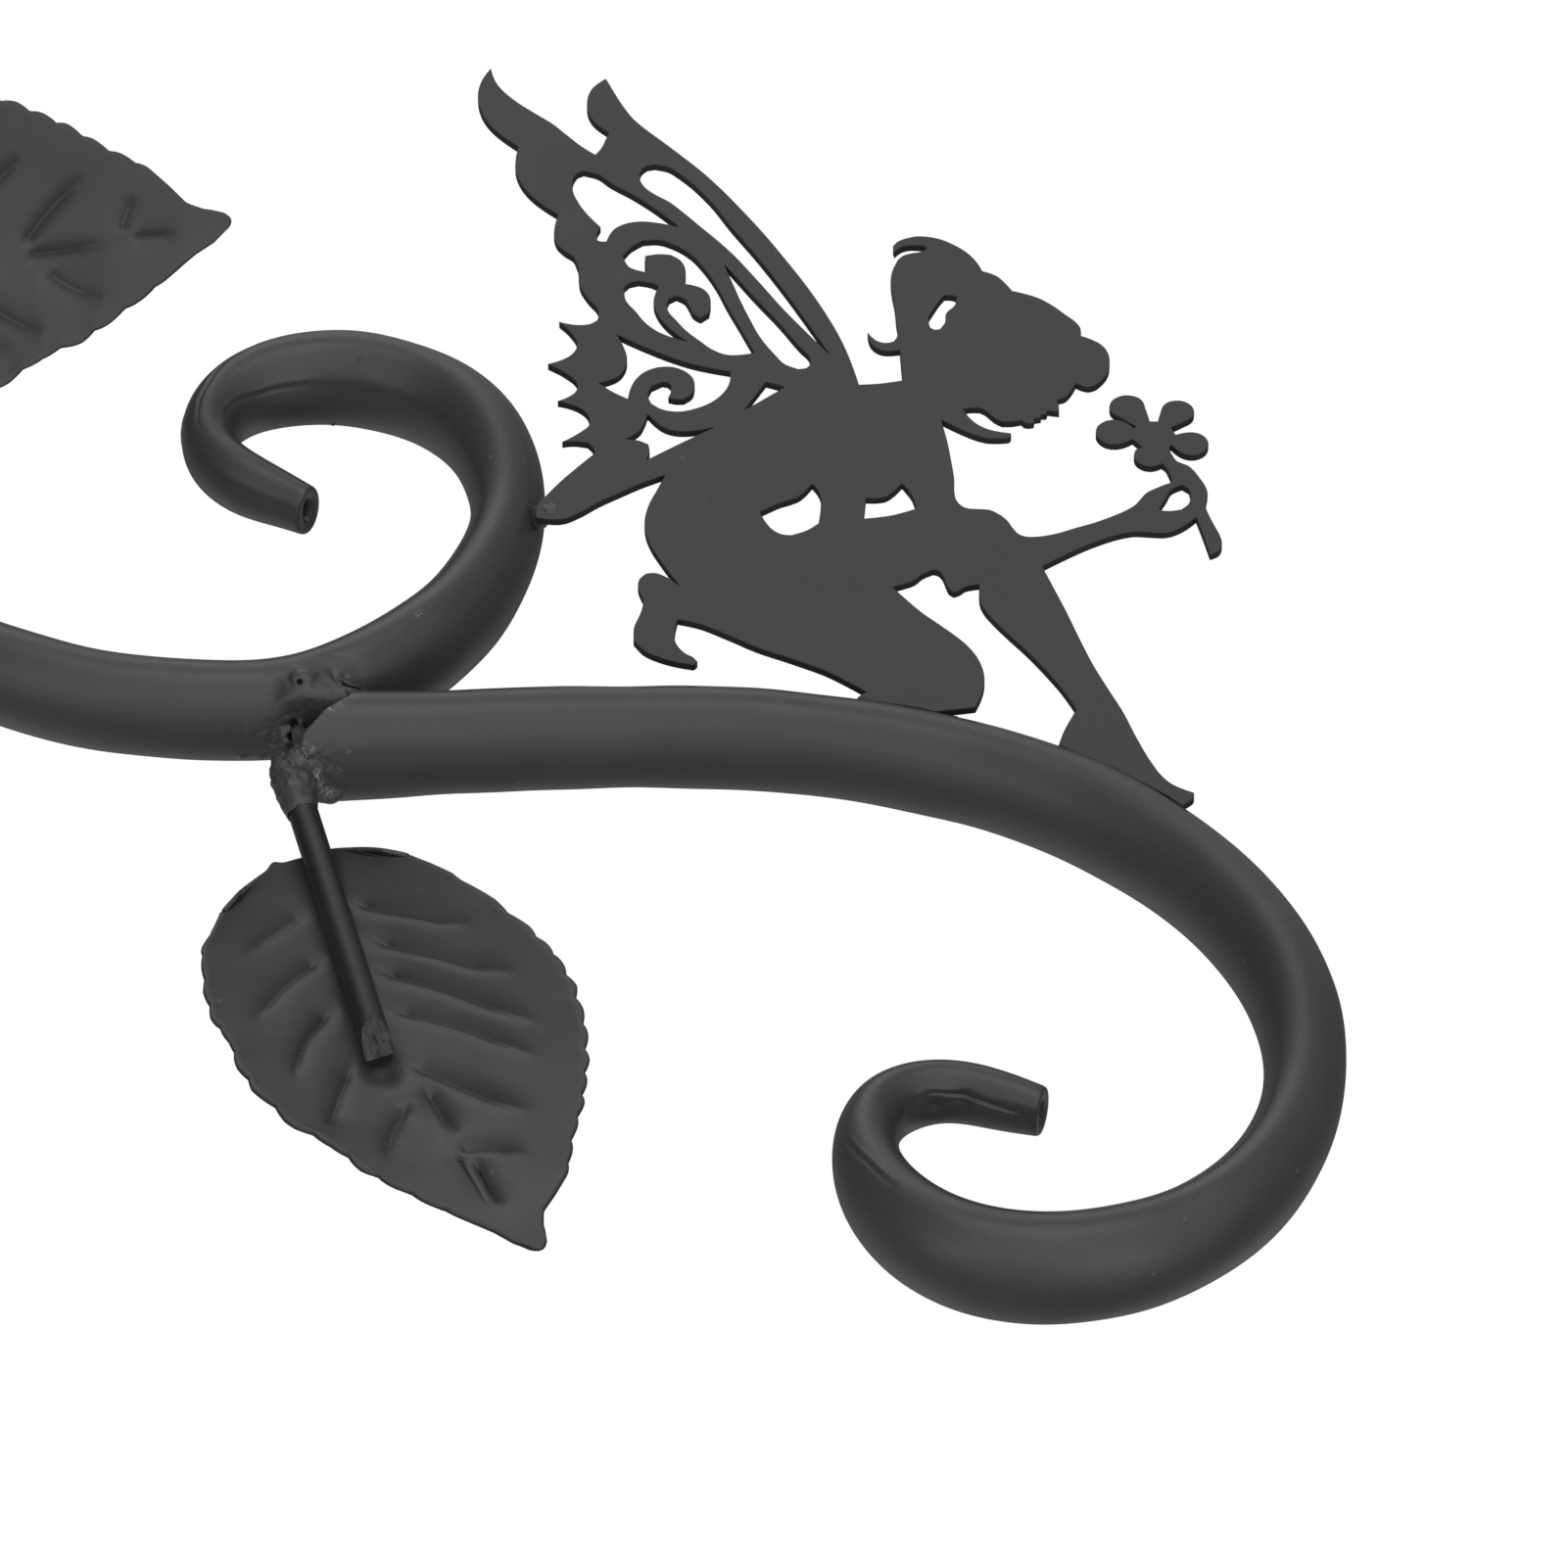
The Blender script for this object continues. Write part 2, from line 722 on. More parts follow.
    def make(self, coat: bpy.types.Material) -> bpy.types.Object:
        """Build and dress the tube.

        Args:
            coat: its material.

        Returns:
            The piece.
        """
        points, outward = self.surface()
        points = points + self.relief(points)[..., None] * outward
        quads = grid_quads(len(points), self.sides, True)
        mesh = build_mesh(self.name, points.reshape(-1, 3), [quads])
        paint_wear(mesh, self.wear)
        mesh.materials.append(coat)
        return show(self.name, mesh, "tube_black", self.node)


@dataclass
class CutPlate:
    """Flat plate with cut edges, its outline taken from its CAD node and made smooth."""

    name: str
    node: str
    side: PlateSide
    slot: str
    spacing: float = 0.35
    corner_turn: float = 33.0
    edge_round: float = 0.16
    edge_steps: int = 4
    straight_from: float = 20.0

    def loops(self) -> tuple[list[np.ndarray], float, float]:
        """Rings of the node's flat face in order, and where its two faces lie.

        Returns:
            The rings in the plate's plane, and the low and high face.
        """
        low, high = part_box(self.node)
        axis = 1 if self.side is PlateSide.ALONG_Y else 0
        level = low[axis]
        shape = bmesh.new()
        shape.from_mesh(bpy.data.objects[self.node].data)
        bmesh.ops.remove_doubles(shape, verts=shape.verts, dist=0.000002)
        other = [face for face in shape.faces
                 if any(abs(vertex.co[axis] - level) > 0.00002 for vertex in face.verts)]
        bmesh.ops.delete(shape, geom=other, context="FACES")
        inner = [edge for edge in shape.edges if not edge.is_boundary]
        bmesh.ops.dissolve_limit(shape, angle_limit=0.001, verts=[], edges=inner)
        inner = [edge for edge in shape.edges if not edge.is_boundary]
        bmesh.ops.delete(shape, geom=inner, context="EDGES_FACES")
        bmesh.ops.delete(shape, geom=list(shape.faces), context="FACES_ONLY")
        mesh = bpy.data.meshes.new("outline")
        shape.to_mesh(mesh)
        shape.free()
        outline = bpy.data.objects.new("outline", mesh)
        bpy.context.scene.collection.objects.link(outline)
        bpy.context.view_layer.objects.active = outline
        for other_object in bpy.context.selected_objects:
            other_object.select_set(False)
        outline.select_set(True)
        bpy.ops.object.convert(target="CURVE")
        rings = []
        keep = [0, 2] if axis == 1 else [1, 2]
        for spline in outline.data.splines:
            flat = np.empty(len(spline.points) * 4)
            spline.points.foreach_get("co", flat)
            rings.append(flat.reshape(-1, 4)[:, keep] / MM)
        bpy.data.objects.remove(outline, do_unlink=True)
        return rings, low[axis] / MM, high[axis] / MM

    def smooth_ring(self, ring: np.ndarray) -> np.ndarray:
        """Smooth closed curve through a ring's points, with its sharp corners kept.

        Formula: a cubic Hermite span between neighbours. A smooth point's direction is the
        mean of its two edges, each weighed by the other's length. A long edge stays straight.

        Args:
            ring: points of the ring.

        Returns:
            Closely spaced points.
        """
        edge = np.roll(ring, -1, 0) - ring
        length = np.linalg.norm(edge, axis=1)
        ring, edge, length = ring[length > 0.02], edge[length > 0.02], length[length > 0.02]
        edge = np.roll(ring, -1, 0) - ring
        length = np.linalg.norm(edge, axis=1)
        unit = edge / length[:, None]
        before, before_length = np.roll(unit, 1, 0), np.roll(length, 1)
        cosine = np.clip((before * unit).sum(1), -1, 1)
        corner = np.degrees(np.arccos(cosine)) > self.corner_turn
        mean = before * length[:, None] + unit * before_length[:, None]
        mean /= np.linalg.norm(mean, axis=1, keepdims=True)
        leave = np.where(corner[:, None], unit, mean)
        arrive = np.where(corner[:, None], before, mean)
        ahead_long = (length > self.straight_from)[:, None]
        behind_long = np.roll(ahead_long, 1, 0)
        leave = np.where(ahead_long, unit, np.where(behind_long, before, leave))
        arrive = np.where(behind_long, before, np.where(ahead_long, unit, arrive))
        arrive_next = np.roll(arrive, -1, 0)
        counts = np.maximum(np.ceil(length / self.spacing).astype(int), 1)
        span = np.repeat(np.arange(len(ring)), counts)
        start = np.repeat(np.cumsum(counts) - counts, counts)
        t = ((np.arange(len(span)) - start) / counts[span])[:, None]
        after = np.roll(ring, -1, 0)
        size = length[span][:, None]
        return ((2 * t ** 3 - 3 * t ** 2 + 1) * ring[span]
                + (t ** 3 - 2 * t ** 2 + t) * size * leave[span]
                + (3 * t ** 2 - 2 * t ** 3) * after[span]
                + (t ** 3 - t ** 2) * size * arrive_next[span])

    def inset(self, ring: np.ndarray, outer: bool) -> np.ndarray:
        """Direction from each ring point into the metal.

        Args:
            ring: closely spaced points.
            outer: whether this is the outer ring.

        Returns:
            One direction a point, a little longer at corners.
        """
        ahead = np.roll(ring, -1, 0) - ring
        ahead /= np.maximum(np.linalg.norm(ahead, axis=1, keepdims=True), 1e-9)
        behind = np.roll(ahead, 1, 0)
        area = np.cross(ring, np.roll(ring, -1, 0)).sum()
        sign = 1.0 if (area > 0) == outer else -1.0
        normal = sign * np.stack([-(ahead + behind)[:, 1], (ahead + behind)[:, 0]], axis=1)
        size = np.linalg.norm(normal, axis=1, keepdims=True)
        normal /= np.maximum(size, 1e-6)
        return normal / np.clip(size / 2, 0.7, 1.0)

    def skin(self) -> tuple[np.ndarray, np.ndarray, np.ndarray, np.ndarray]:
        """The plate's whole skin.

        Formula: each ring is carried over a rounded edge, the straight cut and the other rounded
        edge, at inset = radius * (1 - sin) and depth = radius * (1 - cos). The faces between the
        first and between the last rings are filled with triangles.

        Returns:
            Points, the walls' quads, whether each quad is on the straight cut, and the faces'
            triangles.
        """
        rings, low, high = self.loops()
        rings = [self.smooth_ring(ring) for ring in rings]
        rings.sort(key=lambda ring: -np.ptp(ring[:, 0]) * np.ptp(ring[:, 1]))
        quarter = np.linspace(0, math.pi / 2, self.edge_steps)
        insets = self.edge_round * (1 - np.sin(quarter))
        depths = self.edge_round * (1 - np.cos(quarter))
        insets = np.concatenate([insets, insets[::-1]])
        depths = np.concatenate([low + depths, high - depths[::-1]])
        points, walls, straight, first, last, offset = [], [], [], [], [], 0
        for index, ring in enumerate(rings):
            flat = ring[None] + insets[:, None, None] * self.inset(ring, index == 0)[None]
            depth = np.broadcast_to(depths[:, None], flat.shape[:2])
            order = (flat[..., 0], depth, flat[..., 1])
            if self.side is PlateSide.ALONG_X:
                order = (depth, flat[..., 0], flat[..., 1])
            points.append(np.stack(order, axis=-1).reshape(-1, 3))
            walls.append(grid_quads(len(depths), len(ring), True) + offset)
            straight.append(np.repeat(np.arange(len(depths) - 1) == self.edge_steps - 1, len(ring)))
            first.append((flat[0], offset))
            last.append((flat[-1], offset + (len(depths) - 1) * len(ring)))
            offset += len(depths) * len(ring)
        faces = []
        for group, flip in ((first, False), (last, True)):
            numbers = np.concatenate([start + np.arange(len(flat)) for flat, start in group])
            fill = tessellate_polygon([[Vector((x, z, 0.0)) for x, z in flat] for flat, _ in group])
            triangles = numbers[np.array(fill)]
            faces.append(triangles[:, ::-1] if flip else triangles)
        return np.vstack(points), np.vstack(walls), np.concatenate(straight), np.vstack(faces)

    def make(self, coat: bpy.types.Material, edge_coat: bpy.types.Material) -> bpy.types.Object:
        """Build and dress the plate.

        Args:
            coat: material of the faces.
            edge_coat: material of the cut edges.

        Returns:
            The piece.
        """
        points, walls, straight, faces = self.skin()
        mesh = bpy.data.meshes.new(self.name)
        mesh.from_pydata((points * MM).tolist(), [], walls.tolist() + faces.tolist())
        mesh.materials.append(coat)
        mesh.materials.append(edge_coat)
        on_face = np.zeros(len(faces), int)
        mesh.polygons.foreach_set("use_smooth", np.arange(len(walls) + len(faces)) < len(walls))
        mesh.polygons.foreach_set("material_index", np.concatenate([straight.astype(int), on_face]))
        shape = bmesh.new()
        shape.from_mesh(mesh)
        bmesh.ops.recalc_face_normals(shape, faces=shape.faces)
        shape.to_mesh(mesh)
        shape.free()
        return show(self.name, mesh, self.slot, self.node)


@dataclass
class PressedLeaf:
    """Leaf pressed from thin sheet: cupped, veined, toothed, with a channel for its rod.

    The rims hold pairs of distance along the leaf and how far the rim swells there, and the
    teeth the distances where each tooth is highest. Each vein is three places, as distances
    along and aside, then its depth and its width.
    """

    name: str
    node: str
    base: tuple
    axis: tuple
    across: tuple
    length: float = 94.5
    half_width: float = 28.0
    sheet: float = 1.0
    edge_height: float = 4.0
    cup_power: float = 1.4
    right_rim: tuple = (
        (0, 0), (12, -1.0), (24, -0.5), (36, 0.4), (48, 0.6), (60, 1.2), (68, 0.8), (74, 0.1),
        (81, 0.2), (84.5, -0.9), (87, -2.1), (90, -1.8), (93, -0.8), (94.5, -0.3))
    left_rim: tuple = (
        (0, 0), (6, 0), (10, 0.8), (20, 0.4), (26, 0), (32, -1.4), (38, -0.7), (48, -0.7),
        (54, -0.4), (60, -1.3), (67, 0), (94.5, 0))
    right_teeth: tuple = (8, 19, 28, 33, 38, 43, 49, 54.5, 59.6, 64.1, 68.3, 72.5, 77, 81, 94)
    left_teeth: tuple = (5, 10, 14.5, 20.6, 26, 31, 38, 44, 53, 60, 66.6, 72, 77.8, 83, 94)
    tooth: tuple = (
        (0, 0.1), (24, 0.25), (40, 0.3), (46, 0.40), (70, 0.38), (82, 0.30), (88, 0.0), (95, 0.0))
    tooth_reach: float = 14.0
    rod_radius: float = 2.5
    rod_end: float = 41.2
    rod_slope: float = -0.185
    rod_offset: float = 3.15
    rows: int = 210
    columns: int = 130
    rim_steps: tuple = (0.0, 0.02, 0.08, 0.2, 0.35, 0.5)
    rim_columns: float = 40.0
    stations: tuple = (
        0.0, 0.03, 0.07, 0.12, 0.21, 0.29, 0.38, 0.46, 0.55, 0.63, 0.72, 0.84, 0.93, 0.98, 1.0)
    shares: tuple = (
        0.45, 0.58, 0.68, 0.78, 0.90, 0.97, 1.0, 0.99, 0.91, 0.79, 0.64, 0.40, 0.19, 0.10, 0.065)
    veins: tuple = (
        ((4.7, 5.4), (12.9, 12.6), (21.7, 19.4), 0.50, 0.85),
        ((13.5, 4.8), (23.8, 13.3), (35.0, 21.4), 0.50, 0.85),
        ((20.7, 3.3), (30.7, 11.4), (46.6, 20.1), 0.55, 0.85),
        ((29.9, 1.4), (39.1, 9.8), (53.1, 17.1), 0.45, 0.80),
        ((43.1, -0.2), (50.6, 4.8), (64.6, 11.5), 0.45, 0.90),
        ((65.9, -1.8), (67.3, 2.7), (73.4, 6.8), 0.45, 0.75),
        ((5.0, -2.2), (7.6, -8.6), (13.2, -16.5), 0.35, 0.80),
        ((15.4, -3.7), (19.1, -11.4), (27.9, -20.8), 0.45, 0.85),
        ((26.5, -6.3), (32.4, -13.6), (42.0, -19.6), 0.50, 0.75),
        ((39.0, -8.4), (47.2, -14.5), (54.6, -18.6), 0.45, 0.70),
        ((51.0, -3.4), (56.0, -8.6), (65.5, -13.6), 0.45, 0.80),
        ((49.0, -0.2), (54.7, 0.1), (61.6, -0.1), 0.50, 0.80),
        ((69.0, -0.2), (76.0, -1.0), (83.0, -1.3), 0.50, 0.75),
        ((65.9, -2.1), (73.5, -2.8), (82.0, -3.5), 0.30, 0.45))
    pillow: float = 0.50
    pillow_width: float = 2.0
    press: float = 1.45
    lead: float = 0.22
    base_share: float = 0.12
    base_shift: tuple = (2.2, 10.5)
    nub: tuple = (-0.42, 0.07)
    tip_share: float = 0.035
    tip_round: float = 1.3
    pocket: tuple = ((0.9, 9.0, 3.4), (-1.3, 1.2, 3.0))
    pocket_width: float = 2.6
    waviness: float = 0.08
    wave_length: float = 16.0
    cut_from: float = 0.60
    cut_span: float = 0.25

    def frame(self) -> tuple[np.ndarray, np.ndarray, np.ndarray, np.ndarray]:
        """The leaf's place and how it is turned.

        Returns:
            Its base, and its directions along, aside and out of its hollow side.
        """
        along = np.array(self.axis) / np.linalg.norm(self.axis)
        out = np.cross(along, np.array(self.across))
        out /= np.linalg.norm(out)
        return np.array(self.base), along, np.cross(out, along), out

    def vein_relief(self, along: np.ndarray, aside: np.ndarray) -> np.ndarray:
        """Height of the pressed veins over the sheet.

        Formula: each vein is a bend through three points. The height is minus depth *
        exp(-(distance / width)^2), for a narrow groove and for a wide dip beside it.

        Args:
            along: distance from the base.
            aside: distance from the axis.

        Returns:
            One height a point, below zero in the grooves.
        """
        share = np.linspace(0, 1, 22)[:, None]
        grooves = np.zeros(along.shape)
        dips = np.zeros(along.shape)
        for first, middle, last, depth, wide in self.veins:
            b, c = np.array(middle), np.array(last)
            a = np.array(first) - self.lead * (b - np.array(first))
            control = 2 * b - (a + c) / 2
            line = (1 - share) ** 2 * a + 2 * share * (1 - share) * control + share ** 2 * c
            start, step = line[:-1], np.diff(line, axis=0)
            du = along[..., None] - start[:, 0]
            dv = aside[..., None] - start[:, 1]
            part = np.clip((du * step[:, 0] + dv * step[:, 1]) / (step ** 2).sum(1), 0, 1)
            gap = np.hypot(du - part * step[:, 0], dv - part * step[:, 1])
            best = gap.argmin(-1)
            distance = np.take_along_axis(gap, best[..., None], -1)[..., 0]
            place = (best + np.take_along_axis(part, best[..., None], -1)[..., 0]) / len(start)
            strength = np.clip((1.02 - place) * 3.5, 0, 1) * np.clip(place * 5, 0, 1) ** 2
            groove = depth * strength * np.exp(-(distance / wide) ** 2)
            dip = strength * depth / 0.5 * np.exp(-(distance / self.pillow_width) ** 2)
            grooves = np.maximum(grooves, groove)
            dips = np.maximum(dips, dip)
        return -self.press * (grooves + self.pillow * dips)

    def grid(self) -> tuple[np.ndarray, np.ndarray]:
        """Shares along and across the leaf, with rows and columns close together at the rim.

        Returns:
            The share along from base to tip and across from left to right rim, at each point.
        """
        close = np.array(self.rim_steps) * self.sheet
        rows = np.concatenate([
            close / self.length, np.linspace(0.008, 0.992, self.rows),
            1 - close[::-1] / self.length])
        side = np.linspace(-1, 1, self.columns + 2)[1:-1] * 0.98
        near = close[:-1] / self.rim_columns
        across = np.concatenate([-1 + near, side, 1 - near[::-1]])
        return tuple(np.meshgrid(rows, across, indexing="ij"))

    def rim(self, along: np.ndarray, across: np.ndarray) -> np.ndarray:
        """How far the rim stands from the leaf's axis.

        Formula: share of the half width, plus the rim's own swell, plus near the rim the teeth,
        tooth height * (2 * |cos(pi * tooth number)|^0.8 - 1.2).

        Args:
            along: share along the leaf.
            across: share across it, below zero on the left.

        Returns:
            One distance a point.
        """
        share = np.interp(along, self.stations, self.shares)
        left, way = across < 0, along * self.length
        phase = np.where(left, *(
            np.interp(way, teeth, np.arange(len(teeth)))
            for teeth in (self.left_teeth, self.right_teeth)))
        swell = np.where(left, *(
            np.interp(way, *np.array(line).T) for line in (self.left_rim, self.right_rim)))
        tooth = np.interp(way, *np.array(self.tooth).T)
        tooth = tooth * (np.abs(np.cos(math.pi * phase)) ** 0.8 * 2 - 1.2)
        near_rim = np.abs(across) ** self.tooth_reach * np.minimum(share * 2, 1.0)
        return share * self.half_width + swell + tooth * near_rim

    def run(self, along: np.ndarray, across: np.ndarray) -> np.ndarray:
        """Distance of each point from the leaf's base, along its axis.

        Formula: share * length. The base is drawn in towards the middle and carries a small nub
        on its left, and the tip is rounded.

        Args:
            along: share along the leaf.
            across: share across it.

        Returns:
            One distance a point.
        """
        near_base = np.maximum(1 - along / self.base_share, 0.0)
        near_tip = np.clip((along - 1 + self.tip_share) / self.tip_share, 0, 1)
        out, draw = self.base_shift
        place, width = self.nub
        nub = np.exp(-((across - place) / width) ** 2) * near_base ** 8
        tip = self.tip_round * near_tip * across ** 2
        return along * self.length - tip + near_base * (out - draw * (1 - across ** 2)) - nub

    def height(self, along: np.ndarray, across: np.ndarray, run: np.ndarray,
               aside: np.ndarray, valley: np.ndarray) -> np.ndarray:
        """How high the sheet's upper side stands over the rod's axis.

        Formula: level + (edge height - level) * |across| ^ cup power, as in the solid, where the
        level rises from the channel's floor to the edge over the outer half. Then the veins, the
        pocket pressed beyond the rod's end and a faint ripple.

        Args:
            along: share along the leaf.
            across: share across it.
            run: distance from the base.
            aside: distance from the axis.
            valley: distance of the channel's middle from the axis.

        Returns:
            One height a point.
        """
        tail = np.clip((along - 0.5) / 0.5, 0, 1)
        floor = -(self.rod_radius + 0.3)
        level = floor + (self.edge_height - floor) * tail ** 2 * (3 - 2 * tail)
        height = level + (self.edge_height - level) * np.abs(across) ** self.cup_power
        beyond = run - self.rod_end
        pocket = sum(
            deep * np.exp(-((beyond - place) / wide) ** 2) for deep, place, wide in self.pocket)
        pocket = pocket * np.exp(-((aside - valley) / self.pocket_width) ** 2)
        inside = np.clip((1 - np.abs(across)) * 6, 0, 1)
        height = height + inside * (self.vein_relief(run, aside) + pocket)
        places = np.stack([run, aside, height], -1).reshape(-1, 3)
        return height + self.waviness * ripple(places, self.wave_length, 5).reshape(run.shape)

    def surface(self) -> tuple[np.ndarray, np.ndarray]:
        """Front and back of the sheet as two grids that share their rim.

        Formula: the place aside is valley * (1 - |across|) + across * rim. Half the sheet lies
        each side of the middle, less near the rim, where it is the half circle
        radius * sqrt(1 - (1 - distance / radius)^2).

        Returns:
            The two grids of points in the leaf's own millimetres.
        """
        radius = self.sheet / 2
        along, across = self.grid()
        rim, run = self.rim(along, across), self.run(along, across)
        valley = self.rod_offset + self.rod_slope * np.minimum(run, self.rod_end)
        past_rod = np.maximum(run - self.rod_end, 0) / (self.length - self.rod_end)
        valley = valley * (1 - past_rod)
        aside = valley * (1 - np.abs(across)) + across * rim
        height = self.height(along, across, run, aside, valley)
        to_rim = np.minimum((1 - np.abs(across)) * rim, np.minimum(along, 1 - along) * self.length)
        half = radius * np.sqrt(1 - (1 - np.clip(to_rim / radius, 0, 1)) ** 2)
        middle = np.stack([run, aside, height - radius], axis=-1)
        normal = np.cross(np.gradient(middle, axis=0), np.gradient(middle, axis=1))
        normal /= np.maximum(np.linalg.norm(normal, axis=-1, keepdims=True), 1e-9)
        normal *= np.sign(normal[..., 2:3] + 1e-9)
        return middle + normal * half[..., None], middle - normal * half[..., None]

    def make(self, coat: bpy.types.Material) -> bpy.types.Object:
        """Build and dress the leaf.

        Args:
            coat: its material.

        Returns:
            The piece.
        """
        front, back = self.surface()
        rows, columns = front.shape[:2]
        base, along, aside, out = self.frame()
        local = np.vstack([front.reshape(-1, 3), back.reshape(-1, 3)])
        placed = base + local @ np.stack([along, aside, out])
        quads = grid_quads(rows, columns, False)
        mesh = build_mesh(self.name, placed, [quads, quads[:, ::-1] + rows * columns])
        facing = np.abs(mesh_normals(mesh) @ out)
        paint(mesh, "cut", np.clip((self.cut_from - facing) / self.cut_span, 0, 1))
        mesh.materials.append(coat)
        return show(self.name, mesh, "leaf_black", self.node)


@dataclass
class LeafRod:
    """Round rod in the leaf's channel, sheared off with a slanted facet at its end."""

    name: str
    node: str
    leaf: PressedLeaf
    start: float
    radius: float = 2.5
    facet_length: float = 6.0
    facet_drop: float = 3.6
    facet_floor: float = -0.9
    facet_rough: float = 0.10
    sharp_from: float = 28.0
    rings: int = 130
    sides: int = 64

    def make(self, coat: bpy.types.Material) -> bpy.types.Object:
        """Build and dress the rod.

        Formula: point = centre line + radius * (cos(turn) * aside + sin(turn) * out), and near
        the end no point stands higher than the facet's plane.

        Args:
            coat: its material.

        Returns:
            The piece.
        """
        leaf = self.leaf
        run = np.concatenate([
            [self.start] * 2, np.linspace(self.start, leaf.rod_end, self.rings),
            [leaf.rod_end] * 2])
        scale = np.concatenate([[0.001, 0.9], np.ones(self.rings), [0.9, 0.001]])
        turn = np.linspace(0, 2 * math.pi, self.sides, endpoint=False)
        centre = leaf.rod_offset + leaf.rod_slope * run
        radius = self.radius * scale[:, None]
        aside = centre[:, None] + radius * np.cos(turn)
        height = radius * np.sin(turn)
        into_facet = (run - (leaf.rod_end - self.facet_length)) / self.facet_length
        top = self.radius - into_facet * self.facet_drop
        height = np.minimum(height, np.maximum(top, self.facet_floor)[:, None])
        along = np.broadcast_to(run[:, None], aside.shape)
        local = np.stack([along, aside, height], axis=-1).reshape(-1, 3)
        on_facet = height.ravel() > top.repeat(self.sides) - 0.01
        on_facet &= run.repeat(self.sides) < leaf.rod_end
        local[:, 2] += self.facet_rough * ripple(local, 1.5, 21) * on_facet
        base, way, side, out = leaf.frame()
        placed = base + local @ np.stack([way, side, out])
        mesh = build_mesh(self.name, placed, [grid_quads(len(run), self.sides, True)])
        mesh.set_sharp_from_angle(angle=math.radians(self.sharp_from))
        mesh.materials.append(coat)
        return show(self.name, mesh, "leaf_black", self.node)


@dataclass(frozen=True)
class Lump:
    """An ellipsoid of weld metal, with its turn about Y in degrees.

    The blend is how softly it joins, and the floor is the level of a flat underside.
    """

    centre: tuple
    radii: tuple
    turn: float = 0.0
    blend: float = 1.0
    rough: float = 0.10
    floor: float = -999.0


@dataclass(frozen=True)
class Groove:
    """A crack or hole cut into weld metal along a path of places."""

    path: tuple
    radius: float


